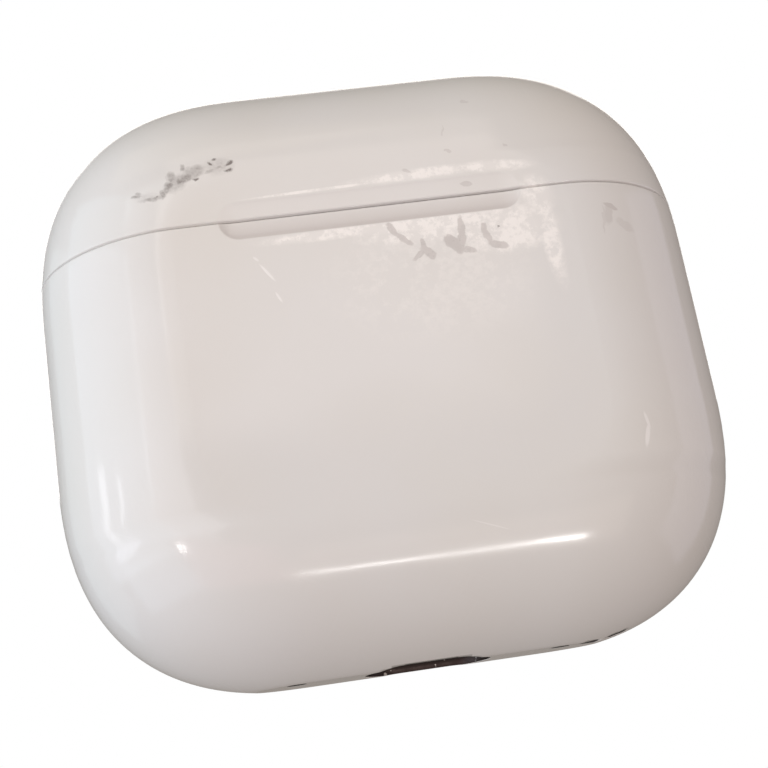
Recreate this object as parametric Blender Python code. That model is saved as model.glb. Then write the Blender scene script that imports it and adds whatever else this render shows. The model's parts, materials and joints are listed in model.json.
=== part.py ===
"""Compact wireless earbuds charging case, closed, standing upright.

Frame: metres, X to the viewer's right, front towards -Y, +Z up, origin at the bottom centre.
The case is a flat pebble: a rounded rectangle seen from the front, with an almost fully round edge.
"""

import math

import bmesh
import bpy
from mathutils import Matrix, Vector

MM = 0.001

# ---- Outer form
WIDTH = 50.1 * MM
DEPTH = 21.2 * MM
FULL_HEIGHT = 46.2 * MM  # of the rounded form, before its foot is flattened
FOOT_FLAT = 0.3 * MM  # taken off the bottom, so that the case can stand
CORNER = 17.3 * MM  # how far a front-view corner reaches along each side
CORNER_POWER = 2.5  # superellipse exponent of that corner
EDGE = DEPTH / 2  # how far the rounded edge reaches in from the outline
EDGE_POWER = 1.9  # superellipse exponent of the edge's profile
CENTRE_Z = FULL_HEIGHT / 2 - FOOT_FLAT
TOP_Z = FULL_HEIGHT - FOOT_FLAT

# ---- Shells
WALL = 1.2 * MM
FIT_GAP = 0.3 * MM  # between the shells and what is set into them
SEAM_Z = 31.9 * MM
SEAM_GAP = 0.3 * MM
NOTCH_WIDTH = 22 * MM
NOTCH_HEIGHT = 3 * MM
NOTCH_DEPTH = 0.45 * MM

# ---- Underside
PORT_LENGTH = 9.3 * MM
PORT_WIDTH = 5.0 * MM
PORT_TOP = 6.2 * MM
SLOT_CENTRES = (-9.6 * MM, 9.6 * MM, 11.7 * MM, 13.85 * MM)
SLOT_Y = -1.3 * MM
SLOT_LENGTH = 1.5 * MM
SLOT_WIDTH = 1.2 * MM

# ---- Hinge, on an axis along X just inside the back surface and above the seam
AXIS = Vector((0, DEPTH / 2 - 1.0 * MM, SEAM_Z + 1.15 * MM))
PIN_RADIUS = 0.35 * MM
BARREL_RADIUS = 0.95 * MM
BARREL_HALF = 10.2 * MM
EYE_INNER, EYE_OUTER = 10.95 * MM, 12.1 * MM
BRACKET_SCREW_X, BRACKET_SCREW_Z = 3.2 * MM, 28.7 * MM
LEAF_SCREW_X = 7 * MM
LEAF_SCREW_Z = AXIS.z + 3.3 * MM
SCREW_WAY = 0.62 * MM  # radius of the holes the screws pass through
SCREW_HEAD_Y = AXIS.y - 0.9 * MM
BOSS_HALF = 1.3 * MM  # half width of the boss behind each screw
SKIN = 0.01 * MM  # how far joined shapes stand past each other, so that no faces coincide
BODY_WINDOW_HALF, LID_WINDOW_HALF = 10.6 * MM, 12.4 * MM

# ---- Inside
DECK_TOP = SEAM_Z - 0.8 * MM
DECK_THICK = 1.2 * MM
BAY_X = 12.4 * MM
BAY_Y = -0.3 * MM
BAY_RADII = Vector((8.0, 6.9, 8.0)) * MM
BAY_WALL = 0.8 * MM
LID_BAY_RADII = Vector((8.0, 6.9, 7.2)) * MM
LINER_BOTTOM = SEAM_Z + 0.45 * MM
LINER_THICK = 1.2 * MM
STEM_X = 6.6 * MM
STEM_Y = 0.6 * MM
STEM_RADIUS = 3.1 * MM
STEM_OUTER = STEM_RADIUS + BAY_WALL
STEM_FLOOR = 8.0 * MM
STEM_TOP = DECK_TOP - DECK_THICK - FIT_GAP
CONTACT_TRAVEL = 0.6 * MM
SIDES = (("left", -1), ("right", 1))


def material(name, colour, roughness, metallic=0.0):
    made = bpy.data.materials.new(name)
    made.use_nodes = True
    shader = made.node_tree.nodes["Principled BSDF"]
    shader.inputs["Base Color"].default_value = (*colour, 1)
    shader.inputs["Roughness"].default_value = roughness
    shader.inputs["Metallic"].default_value = metallic
    made.diffuse_color = (*colour, 1)
    return made


# ---- Small modelling tools


def object_from(bm, name, finish=None, smooth=True):
    """Turns a bmesh into an object in the scene, with its faces pointing out."""
    bmesh.ops.recalc_face_normals(bm, faces=bm.faces[:])
    mesh = bpy.data.meshes.new(name)
    bm.to_mesh(mesh)
    bm.free()
    if smooth:
        mesh.shade_smooth()
        mesh.set_sharp_from_angle(angle=math.radians(35))
    if finish:
        mesh.materials.append(finish)
    made = bpy.data.objects.new(name, mesh)
    bpy.context.scene.collection.objects.link(made)
    return made


def combine(target, tool, operation="DIFFERENCE"):
    """Cuts a helper shape from the target, or joins it on, and hides the helper."""
    modifier = target.modifiers.new(tool.name, "BOOLEAN")
    modifier.operation = operation
    modifier.solver = "EXACT"
    modifier.object = tool
    tool.hide_render = True
    tool.display_type = "WIRE"
    return target


def box(name, low, high, finish=None, bevel=0.0):
    """Box between two corners, its edges rounded by a bevel if one is given."""
    low, high = Vector(low), Vector(high)
    bm = bmesh.new()
    bmesh.ops.create_cube(bm, size=1)
    for vert in bm.verts:
        vert.co = Vector(map(lambda c, a, b: a + (c + 0.5) * (b - a), vert.co, low, high))
    made = object_from(bm, name, finish, smooth=bool(bevel))
    if bevel:
        rounding = made.modifiers.new("edges", "BEVEL")
        rounding.width = bevel
        rounding.segments = 2
        rounding.limit_method = "ANGLE"
    return made


def prism(name, outline, direction, start, end, finish=None):
    """Extrudes an outline of (u, v) points along X, Y or Z, from start to end."""
    place = {
        "X": lambda u, v, along: (along, u, v),
        "Y": lambda u, v, along: (u, along, v),
        "Z": lambda u, v, along: (u, v, along),
    }[direction]
    bm = bmesh.new()
    face = bm.faces.new([bm.verts.new(place(u, v, start)) for u, v in outline])
    moved = bmesh.ops.extrude_face_region(bm, geom=[face])["geom"]
    shift = Vector(place(0, 0, end)) - Vector(place(0, 0, start))
    bmesh.ops.translate(bm, verts=[v for v in moved if isinstance(v, bmesh.types.BMVert)], vec=shift)
    return object_from(bm, name, finish)


def circle(u, v, radius, sides=20):
    turns = (2 * math.pi * (step + 0.5) / sides for step in range(sides))
    return [(u + radius * math.cos(turn), v + radius * math.sin(turn)) for turn in turns]


def stadium(u, v, length, width, sides=10):
    """Slot outline with round ends, its long side along u."""
    points = []
    for side in (1, -1):
        for step in range(sides + 1):
            turn = math.pi * (step / sides - side / 2)
            points.append((
                u + side * (length - width) / 2 + width / 2 * math.cos(turn),
                v + width / 2 * math.sin(turn),
            ))
    return points


def rod(name, centre, radius, direction, start, end, finish=None, sides=20):
    return prism(name, circle(*centre, radius, sides), direction, start, end, finish)


def ring(name, centre, outer, inner, direction, start, end, finish, sides=20):
    made = rod(name, centre, outer, direction, start, end, finish, sides)
    bore = rod(f"{name}_bore", centre, inner, direction, start - 1 * MM, end + 1 * MM, sides=sides)
    return combine(made, bore)


def ellipsoid(name, centre, radii, finish=None):
    bm = bmesh.new()
    bmesh.ops.create_uvsphere(bm, u_segments=24, v_segments=13, radius=1)
    placed = Matrix.Translation(centre) @ Matrix.Diagonal((*radii, 1))
    bmesh.ops.transform(bm, matrix=placed, verts=bm.verts[:])
    return object_from(bm, name, finish)


# ---- The outer form of the case, and the same form moved inwards


def outline(half_x, half_z, corner, steps):
    """Rounded rectangle of the front view, anticlockwise from the right, each corner a superellipse."""
    points = []
    for quarter, (sign_x, sign_z) in enumerate(((1, 1), (-1, 1), (-1, -1), (1, -1))):
        for step in range(steps + 1):
            turn = math.pi / 2 * (step if quarter % 2 == 0 else steps - step) / steps
            x = half_x - corner * (1 - abs(math.cos(turn)) ** (2 / CORNER_POWER))
            z = half_z - corner * (1 - abs(math.sin(turn)) ** (2 / CORNER_POWER))
            points.append((sign_x * x, sign_z * z))
    return points


def case_form(name, inset, corner_steps, edge_steps, finish=None):
    """Closed pebble of the case, moved inwards by inset, as rings of points from front to back."""
    bm = bmesh.new()
    rings = []
    for step in range(-edge_steps, edge_steps + 1):
        turn = math.pi / 2 * step / edge_steps
        y = math.copysign((DEPTH / 2 - inset) * abs(math.sin(turn)) ** (2 / EDGE_POWER), turn)
        inwards = inset + (EDGE - inset) * (1 - abs(math.cos(turn)) ** (2 / EDGE_POWER))
        points = outline(WIDTH / 2 - inwards, FULL_HEIGHT / 2 - inwards, CORNER - inwards, corner_steps)
        rings.append([bm.verts.new((x, y, CENTRE_Z + z)) for x, z in points])
    for near, far in zip(rings, rings[1:]):
        for here in range(len(near)):
            after = (here + 1) % len(near)
            bm.faces.new((near[here], near[after], far[after], far[here]))
    bm.faces.new(rings[0])
    bm.faces.new(rings[-1][::-1])
    return object_from(bm, name, finish)


def slab(name, low_z, high_z):
    """Box over the whole width and depth between two heights."""
    return box(name, (-WIDTH, -DEPTH, low_z), (WIDTH, DEPTH, high_z))


# ---- Shells


def notch_cutter():
    """Shallow thumb notch across the seam, on the flat of the front."""
    front = -DEPTH / 2
    points = stadium(0, SEAM_Z, NOTCH_WIDTH, NOTCH_HEIGHT)
    return prism("notch_cutter", points, "Y", front - 1 * MM, front + NOTCH_DEPTH)


def hinge_groove():
    """Room under the lid's back edge as it swings about the axis."""
    reach = math.hypot(DEPTH / 2 - AXIS.y, AXIS.z - SEAM_Z - SEAM_GAP / 2) + 0.12 * MM
    return rod("hinge_groove", (AXIS.y, AXIS.z), reach, "X", -20.5 * MM, 20.5 * MM, sides=36)


def body_shell(plastic):
    shell = case_form("body_shell", 0, 12, 8, plastic)
    combine(shell, slab("foot_plane", -5 * MM, 0))
    combine(shell, slab("body_top_plane", SEAM_Z - SEAM_GAP / 2, FULL_HEIGHT * 1.2))
    combine(shell, case_form("body_cavity", WALL, 8, 6))
    combine(shell, notch_cutter())
    combine(shell, hinge_groove())
    low = (-BODY_WINDOW_HALF, 8.6 * MM, AXIS.z - 2.8 * MM)
    combine(shell, box("body_window", low, (BODY_WINDOW_HALF, DEPTH, SEAM_Z + 1 * MM)))
    hole = stadium(0, 0, PORT_LENGTH, PORT_WIDTH)
    combine(shell, prism("port_hole", hole, "Z", -2 * MM, 3 * MM))
    for index, centre in enumerate(SLOT_CENTRES):
        slot = stadium(centre, SLOT_Y, SLOT_LENGTH, SLOT_WIDTH, 4)
        combine(shell, prism(f"slot_hole_{index}", slot, "Z", -2 * MM, 4 * MM))
    return shell


def lid_shell(plastic):
    shell = case_form("lid_shell", 0, 12, 8, plastic)
    combine(shell, slab("lid_bottom_plane", -5 * MM, SEAM_Z + SEAM_GAP / 2))
    combine(shell, case_form("lid_cavity", WALL, 8, 6))
    combine(shell, bpy.data.objects["notch_cutter"])
    low = (-LID_WINDOW_HALF, 7 * MM, SEAM_Z - 1 * MM)
    combine(shell, box("lid_window", low, (LID_WINDOW_HALF, DEPTH, AXIS.z + 1.4 * MM)))
    return shell


# ---- Bays for the two earbuds


def bay_tray(plastic):
    """Deck below the seam, with a bowl for each earbud's head and a boss for each bracket screw."""
    tray = case_form("bay_tray", WALL + FIT_GAP, 8, 6, plastic)
    combine(tray, slab("tray_above", DECK_TOP, FULL_HEIGHT * 1.2))
    combine(tray, slab("tray_below", -5 * MM, DECK_TOP - DECK_THICK))
    wall = Vector((BAY_WALL,) * 3)
    for side, sign in SIDES:
        centre = (sign * BAY_X, BAY_Y, DECK_TOP - 0.1 * MM)
        combine(tray, ellipsoid(f"bay_{side}_outside", centre, BAY_RADII + wall), "UNION")
        low = (sign * BRACKET_SCREW_X - BOSS_HALF, 3 * MM, BRACKET_SCREW_Z - 1.4 * MM)
        high = (sign * BRACKET_SCREW_X + BOSS_HALF, 7.6 * MM, BRACKET_SCREW_Z + 1.9 * MM)
        combine(tray, box(f"tray_boss_{side}", low, high), "UNION")
    combine(tray, slab("tray_trim", DECK_TOP, FULL_HEIGHT * 1.3))
    for side, sign in SIDES:
        centre = (sign * BAY_X, BAY_Y, DECK_TOP)
        combine(tray, ellipsoid(f"bay_{side}_inside", centre, BAY_RADII))
        opening = (sign * STEM_X, STEM_Y)
        way = rod(f"stem_{side}_way", opening, STEM_OUTER + FIT_GAP, "Z", 15 * MM, STEM_TOP + FIT_GAP)
        combine(tray, way)
        combine(tray, rod(f"stem_{side}_mouth", opening, STEM_RADIUS, "Z", STEM_TOP, DECK_TOP + 1 * MM))
        place = (sign * BRACKET_SCREW_X, BRACKET_SCREW_Z)
        combine(tray, rod(f"boss_bore_{side}", place, SCREW_WAY, "Y", 4.4 * MM, 9 * MM, sides=12))
    back = box("tray_back", (-10.9 * MM, 7.7 * MM, 20 * MM), (10.9 * MM, DEPTH, DECK_TOP + 1 * MM))
    return combine(tray, back)


def stem_well(side, sign, plastic):
    """Tube for an earbud's stem, closed at the bottom, where the charging contacts stand."""
    centre = (sign * STEM_X, STEM_Y)
    well = rod(f"stem_well_{side}", centre, STEM_OUTER, "Z", STEM_FLOOR - BAY_WALL, STEM_TOP, plastic)
    combine(well, rod(f"stem_well_{side}_bore", centre, STEM_RADIUS, "Z", STEM_FLOOR, STEM_TOP + 1 * MM))
    return combine(well, bpy.data.objects[f"bay_{side}_inside"])


def lid_liner(plastic):
    """Inner face of the lid, with a hollow over each earbud's head and a boss for each leaf screw."""
    liner = case_form("lid_liner", WALL + FIT_GAP, 8, 6, plastic)
    combine(liner, slab("liner_above", LINER_BOTTOM + LINER_THICK, FULL_HEIGHT * 1.2))
    combine(liner, slab("liner_below", -5 * MM, LINER_BOTTOM))
    wall = Vector((BAY_WALL,) * 3)
    for side, sign in SIDES:
        centre = (sign * BAY_X, BAY_Y, SEAM_Z + 0.1 * MM)
        combine(liner, ellipsoid(f"hollow_{side}_outside", centre, LID_BAY_RADII + wall), "UNION")
        low = (sign * LEAF_SCREW_X - BOSS_HALF, 4 * MM, LINER_BOTTOM + 0.5 * MM)
        high = (sign * LEAF_SCREW_X + BOSS_HALF, 7.6 * MM, LEAF_SCREW_Z + BOSS_HALF)
        combine(liner, box(f"liner_boss_{side}", low, high), "UNION")
    combine(liner, slab("liner_trim", -5 * MM, LINER_BOTTOM))
    for side, sign in SIDES:
        combine(liner, ellipsoid(f"hollow_{side}_inside", (sign * BAY_X, BAY_Y, SEAM_Z), LID_BAY_RADII))
        place = (sign * LEAF_SCREW_X, LEAF_SCREW_Z)
        combine(liner, rod(f"liner_bore_{side}", place, SCREW_WAY, "Y", 6 * MM, 9 * MM, sides=12))
    back = box("liner_back", (-12.6 * MM, 7.7 * MM, 20 * MM), (12.6 * MM, DEPTH, TOP_Z))
    return combine(liner, back)


# ---- Hinge


def around_axis(*points):
    """Places (y, z) points given in mm from the hinge axis."""
    return [(AXIS.y + y * MM, AXIS.z + z * MM) for y, z in points]


def axis_box(name, half_x, low, high, finish=None):
    """Box given by its (y, z) corners in mm from the hinge axis, centred on X."""
    (low_y, low_z), (high_y, high_z) = around_axis(low, high)
    return box(name, (-half_x, low_y, low_z), (half_x, high_y, high_z), finish)


def hinge_bracket(steel):
    """Fixed half: the round bar seen at the back, a strip below it, and a leaf down the inside."""
    bracket = axis_box("hinge_bracket", BARREL_HALF, (0.25, -2.45), (0.9, -0.05), steel)
    web = axis_box("bracket_web", BARREL_HALF - SKIN, (-1.55, -2.4), (0.8, -1.85))
    leaf = axis_box("bracket_leaf", BARREL_HALF - 2 * SKIN, (-1.6, -6.15), (-1.0, -1.9))
    axis = (AXIS.y, AXIS.z)
    barrel = rod("barrel", axis, BARREL_RADIUS, "X", -BARREL_HALF - SKIN, BARREL_HALF + SKIN)
    for joined in (web, leaf, barrel):
        combine(bracket, joined, "UNION")
    combine(bracket, rod("barrel_bore", axis, PIN_RADIUS + 0.1 * MM, "X", -12 * MM, 12 * MM, sides=12))
    for side, sign in SIDES:
        hole = (sign * BRACKET_SCREW_X, BRACKET_SCREW_Z)
        combine(bracket, rod(f"bracket_hole_{side}", hole, SCREW_WAY, "Y", 7 * MM, 9 * MM, sides=12))
    return bracket


def hinge_leaf(steel):
    """Moving half: a plate on the lid liner and an arm with an eye at each end of the bar."""
    low, high = around_axis((-1.5, 1.9), (-1.0, 4.9))
    leaf = box("hinge_leaf", (-EYE_OUTER, low[0], low[1]), (EYE_OUTER, high[0], high[1]), steel)
    axis = (AXIS.y, AXIS.z)
    for side, sign in SIDES:
        near, far = sorted((sign * EYE_INNER, sign * EYE_OUTER))
        arm = around_axis((-1.3, 2.4), (-1.3, 0.3), (-0.5, -0.5), (0.3, 0.4), (-0.45, 1.2), (-0.45, 2.4))
        combine(leaf, prism(f"arm_{side}", arm, "X", near, far), "UNION")
        combine(leaf, rod(f"eye_{side}", axis, BARREL_RADIUS, "X", near - SKIN, far + SKIN), "UNION")
        hole = (sign * LEAF_SCREW_X, LEAF_SCREW_Z)
        combine(leaf, rod(f"leaf_hole_{side}", hole, SCREW_WAY, "Y", 7 * MM, 9.5 * MM, sides=12))
    return combine(leaf, rod("eye_bore", axis, PIN_RADIUS + 0.12 * MM, "X", -14 * MM, 14 * MM, sides=12))


def screw(name, centre, head_y, tip_y, steel):
    """Small pan-head screw along Y, its head towards the back."""
    shank = rod(name, centre, 0.45 * MM, "Y", tip_y, head_y + 0.1 * MM, steel, sides=12)
    head = rod(f"{name}_head", centre, 1.0 * MM, "Y", head_y, head_y + 0.36 * MM, sides=16)
    combine(shank, head, "UNION")
    u, v = centre
    half, deep = 0.62 * MM, head_y + 0.18 * MM
    for index, (wide, tall) in enumerate(((half, 0.13 * MM), (0.13 * MM, half))):
        low, high = (u - wide, deep, v - tall), (u + wide, head_y + 1 * MM, v + tall)
        combine(shank, box(f"{name}_drive_{index}", low, high))
    return shank


# ---- Charging port and what stands behind the underside


def port_parts(steel, dark, board, rubber):
    """Steel mouth, contact tongue, seal and small board of the charging port."""
    mouth = stadium(0, 0, PORT_LENGTH - 0.4 * MM, PORT_WIDTH - 0.4 * MM)
    shell = prism("port_shell", mouth, "Z", 0.1 * MM, 0.9 * MM, steel)
    sleeve = prism("port_sleeve", stadium(0, 0, 8.9 * MM, 3.2 * MM), "Z", 0.2 * MM, PORT_TOP)
    combine(shell, sleeve, "UNION")
    inside = stadium(0, 0, 8.3 * MM, 2.6 * MM)
    combine(shell, prism("port_shell_inside", inside, "Z", -1 * MM, 8 * MM))
    tongue = box("port_tongue", (-3.35 * MM, -0.35 * MM, 1.2 * MM), (3.35 * MM, 0.35 * MM, 5.4 * MM), dark)
    base = prism("tongue_base", stadium(0, 0, 8.0 * MM, 2.3 * MM), "Z", 5.1 * MM, PORT_TOP - 0.1 * MM)
    combine(tongue, base, "UNION")
    gasket = prism("port_gasket", stadium(0, 0, 10.6 * MM, 4.9 * MM), "Z", 1.8 * MM, 2.6 * MM, rubber)
    combine(gasket, prism("gasket_inside", stadium(0, 0, 9.4 * MM, 3.7 * MM), "Z", 0, 5 * MM))
    box("port_board", (-5.2 * MM, 2.1 * MM, 3.0 * MM), (5.2 * MM, 2.7 * MM, 6.7 * MM), board)


def sound_parts(dark, steel):
    """Speaker behind the slots on the right, its mesh, and the vent behind the slot on the left."""
    box("speaker", (9.4 * MM, -2.5 * MM, 3.5 * MM), (15.2 * MM, 2.5 * MM, 6.6 * MM), dark, 0.3 * MM)
    box("speaker_mesh", (8.8 * MM, -0.6 * MM, 2.25 * MM), (14.5 * MM, 0.6 * MM, 2.55 * MM), steel)
    rod("vent_membrane", (-9.6 * MM, 0), 1.0 * MM, "Z", 1.6 * MM, 1.9 * MM, steel, sides=16)


# ---- Boards, cells, coil and magnets


def electronics(board, steel, copper, plastic):
    """Main board with its chips and shield, the ribbon down to the port, and the status light."""
    circuit = box("main_board", (-10.4 * MM, -7.4 * MM, 7.6 * MM), (10.4 * MM, -6.6 * MM, 20.8 * MM), board)
    chips = (
        ("charger", -7.6, 16.4, 2.0, 2.0),
        ("logic", 6.6, 15.6, 2.4, 2.4),
        ("radio", -6.8, 10.6, 1.6, 1.3),
    )
    for name, x, z, half_x, half_z in chips:
        low = ((x - half_x) * MM, -8.2 * MM, (z - half_z) * MM)
        high = ((x + half_x) * MM, -7.3 * MM, (z + half_z) * MM)
        combine(circuit, box(f"{name}_chip", low, high), "UNION")
    box("board_shield", (-4.8 * MM, -6.2 * MM, 10.4 * MM), (4.8 * MM, -4.9 * MM, 19.4 * MM), steel, 0.2 * MM)
    ribbon = [(-6.3, 9.8), (-6.3, 4.9), (-2.2, 4.9), (-2.2, 5.15), (-6.05, 5.15), (-6.05, 9.8)]
    prism("board_ribbon", [(y * MM, z * MM) for y, z in ribbon], "X", -1.5 * MM, 1.5 * MM, copper)
    box("status_light", (-0.7 * MM, -8.3 * MM, 18.5 * MM), (0.7 * MM, -7.7 * MM, 19.9 * MM), plastic)
    rod("light_pipe", (0, 19.2 * MM), 0.8 * MM, "Y", -9.1 * MM, -8.6 * MM, plastic, sides=16)


def cell(side, sign, foil):
    near, far = sorted((sign * 11.2 * MM, sign * 18.8 * MM))
    box(f"battery_{side}", (near, -5.0 * MM, 7.4 * MM), (far, 5.0 * MM, 20.3 * MM), foil, 0.9 * MM)


def charging_parts(copper, ferrite):
    """Coil against the back wall and the ferrite sheet in front of it."""
    centre = (0, 16.3 * MM)
    ring("charging_coil", centre, 9.2 * MM, 4.6 * MM, "Y", 7.9 * MM, 8.5 * MM, copper, sides=36)
    box("ferrite_sheet", (-9.6 * MM, 7.0 * MM, 7.0 * MM), (9.6 * MM, 7.5 * MM, 25.6 * MM), ferrite)


def magnets(side, sign, nickel):
    """Catch magnets of the body and the lid, and the one under a bowl. Returns the lid's."""
    near, far = sorted((sign * 0.4 * MM, sign * 3.0 * MM))
    box(f"catch_magnet_{side}", (near, -8.4 * MM, 27.1 * MM), (far, -6.8 * MM, 29.5 * MM), nickel, 0.15 * MM)
    low_z = LINER_BOTTOM + LINER_THICK + FIT_GAP
    lid_magnet = box(
        f"lid_magnet_{side}", (near, -8.4 * MM, low_z), (far, -6.8 * MM, low_z + 2.4 * MM), nickel, 0.15 * MM
    )
    rod(f"bud_magnet_{side}", (sign * 14.8 * MM, 0), 2.4 * MM, "Z", 20.8 * MM, 21.9 * MM, nickel, sides=24)
    return lid_magnet


def contacts(side, sign, dark, gold):
    """Block at the bottom of a stem well, with two sprung pins, each on an origin on its own axis."""
    block_top = 10.0 * MM
    block = rod(f"contact_block_{side}", (sign * STEM_X, STEM_Y), 2.75 * MM, "Z", 8.3 * MM, block_top, dark)
    for place, offset in (("front", -1.2 * MM), ("back", 1.2 * MM)):
        centre = (sign * STEM_X, STEM_Y + offset)
        combine(block, rod(f"pin_way_{side}_{place}", centre, 0.58 * MM, "Z", 5 * MM, 12 * MM, sides=12))
        pin = rod(f"contact_pin_{side}_{place}", (0, 0), 0.45 * MM, "Z", 0, 2.0 * MM, gold, sides=12)
        pin.location = (*centre, STEM_FLOOR + CONTACT_TRAVEL + 0.3 * MM)


def ride_on_lid(pieces):
    """Parents the pieces of the lid to an empty on the hinge axis, and leaves them where they are."""
    pivot = bpy.data.objects.new("lid_pivot", None)
    pivot.location = AXIS
    bpy.context.scene.collection.objects.link(pivot)
    for piece in pieces:
        piece.parent = pivot
        piece.matrix_parent_inverse = Matrix.Translation(-AXIS)


def build():
    for old in list(bpy.data.objects):
        bpy.data.objects.remove(old, do_unlink=True)

    white = material("white_gloss", (0.83, 0.82, 0.81), 0.12)
    steel = material("steel", (0.62, 0.62, 0.63), 0.3, 1.0)
    gold = material("gold_plate", (0.85, 0.62, 0.25), 0.25, 1.0)
    nickel = material("nickel_plate", (0.7, 0.68, 0.64), 0.3, 1.0)
    board = material("circuit_board", (0.02, 0.09, 0.05), 0.5)
    dark = material("dark_plastic", (0.02, 0.02, 0.022), 0.45)
    copper = material("copper", (0.72, 0.36, 0.2), 0.35, 1.0)
    ferrite = material("ferrite", (0.05, 0.05, 0.055), 0.7)
    foil = material("cell_foil", (0.45, 0.46, 0.48), 0.4, 0.8)
    rubber = material("rubber", (0.03, 0.03, 0.03), 0.8)

    body_shell(white)
    lid_pieces = [lid_shell(white), lid_liner(white), hinge_leaf(steel)]
    bay_tray(white)
    hinge_bracket(steel)
    pin_half = EYE_OUTER - 0.1 * MM
    rod("hinge_pin", (AXIS.y, AXIS.z), PIN_RADIUS, "X", -pin_half, pin_half, steel, sides=12)
    port_parts(steel, dark, board, rubber)
    sound_parts(dark, steel)
    electronics(board, steel, copper, white)
    charging_parts(copper, ferrite)
    for side, sign in SIDES:
        stem_well(side, sign, white)
        contacts(side, sign, dark, gold)
        cell(side, sign, foil)
        lid_pieces.append(magnets(side, sign, nickel))
        near, far = sorted((sign * (BARREL_HALF + 0.22 * MM), sign * (EYE_INNER - 0.22 * MM)))
        ring(f"hinge_washer_{side}", (AXIS.y, AXIS.z), 0.9 * MM, 0.47 * MM, "X", near, far, steel, sides=16)
        bracket_place = (sign * BRACKET_SCREW_X, BRACKET_SCREW_Z)
        screw(f"bracket_screw_{side}", bracket_place, SCREW_HEAD_Y, 5.0 * MM, steel)
        leaf_place = (sign * LEAF_SCREW_X, LEAF_SCREW_Z)
        lid_pieces.append(screw(f"leaf_screw_{side}", leaf_place, SCREW_HEAD_Y, 6.3 * MM, steel))
    ride_on_lid(lid_pieces)


build()
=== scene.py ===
"""Compact wireless earbuds case, closed and standing: its finished surfaces, light and camera.

Metres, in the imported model's frame: X to the right, the front towards -Y, +Z up, the foot at z = 0.
"""

import json
import math

import bmesh
import bpy
import numpy as np
from mathutils import Euler, Matrix, Vector


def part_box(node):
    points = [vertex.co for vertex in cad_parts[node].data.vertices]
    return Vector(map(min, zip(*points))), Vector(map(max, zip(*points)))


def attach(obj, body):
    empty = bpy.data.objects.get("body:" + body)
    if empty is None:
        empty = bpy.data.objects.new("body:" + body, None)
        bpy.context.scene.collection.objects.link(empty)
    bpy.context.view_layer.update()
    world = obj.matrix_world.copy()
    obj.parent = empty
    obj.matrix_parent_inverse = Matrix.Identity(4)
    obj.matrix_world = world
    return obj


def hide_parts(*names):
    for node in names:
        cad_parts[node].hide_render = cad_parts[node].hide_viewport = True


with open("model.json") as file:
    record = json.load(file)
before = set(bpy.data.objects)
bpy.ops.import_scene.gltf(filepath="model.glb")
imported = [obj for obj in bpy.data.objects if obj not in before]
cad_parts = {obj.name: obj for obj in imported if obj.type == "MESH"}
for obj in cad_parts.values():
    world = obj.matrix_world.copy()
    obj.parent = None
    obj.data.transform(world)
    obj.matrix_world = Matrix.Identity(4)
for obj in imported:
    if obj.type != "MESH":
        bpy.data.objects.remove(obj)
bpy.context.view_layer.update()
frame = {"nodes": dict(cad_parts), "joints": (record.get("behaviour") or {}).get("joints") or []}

MM = 0.001
SIDES = (("left", -1), ("right", 1))

# ---- The outer form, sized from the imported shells
HALF_X, HALF_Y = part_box("body_shell")[1].x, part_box("body_shell")[1].y
TOP_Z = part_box("lid_shell")[1].z
SEAM_Z = (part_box("body_shell")[1].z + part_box("lid_shell")[0].z) / 2
FOOT_FLAT = 0.3 * MM  # taken off the bottom of the rounded form
CENTRE_Z = (TOP_Z - FOOT_FLAT) / 2
HALF_Z = TOP_Z - CENTRE_Z
CORNER = 17.3 * MM  # how far a front-view corner reaches along each side
CORNER_POWER = 2.5
EDGE = HALF_Y  # how far the rounded edge reaches in from the outline
EDGE_POWER = 1.9
FLAT = CORNER - EDGE  # reach of a corner's flat middle
WALL = 1.2 * MM
LINING = WALL + 0.1 * MM  # how far inside the outer form the tray and the liner end

# ---- Seam, thumb notch and hinge
SEAM_HALF = 0.06 * MM  # half the groove that shows between body and lid
SEAM_CLOSED = 0.012 * MM  # half the gap behind that groove
RIM_FILLET = 0.1 * MM
NOTCH_HALF = 11.0 * MM
NOTCH_RADIUS = 1.5 * MM
NOTCH_DEPTH = 0.18 * MM
NOTCH_SOFT = 0.24 * MM  # width over which the notch's edge is rounded
NOTCH_LID_SHARE = 0.5  # how deep the notch is on the lid, against the body
AXIS = Vector(next(j for j in frame["joints"] if j["name"] == "lid_hinge")["pos_m"])
GROOVE_RADIUS = 1.58 * MM
GROOVE_HALF = 20.5 * MM
WINDOW_FILLET = 0.35 * MM

# ---- How finely the shells are drawn
FRONT_COLUMNS, ARC_COLUMNS, BACK_COLUMNS = 288, 26, 72
EDGE_ROWS = 30
NOTCH_STEP = 0.075 * MM

# ---- Inside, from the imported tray, liner and wells
DECK_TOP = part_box("bay_tray")[1].z
DECK_THICK = 1.2 * MM
LINER_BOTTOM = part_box("lid_liner")[0].z
BAY_X, BAY_Y = 12.4 * MM, -0.3 * MM
BAY_RADII = Vector((8.0, 6.9, 8.0)) * MM
LID_BAY_RADII = Vector((8.0, 6.9, 7.2)) * MM
BAY_WALL = 0.8 * MM
WALL_SUNK = 0.4 * MM  # how far a bay's wall starts inside its plate
LIP_FILLET = 0.45 * MM
STEM_Y = 0.6 * MM
STEM_X = 6.6 * MM
STEM_RADIUS = 3.1 * MM


# ---- Meshes


def linked(name, data):
    """Object of a mesh, a light or a camera, in the scene."""
    made = bpy.data.objects.new(name, data)
    bpy.context.scene.collection.objects.link(made)
    return made


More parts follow.
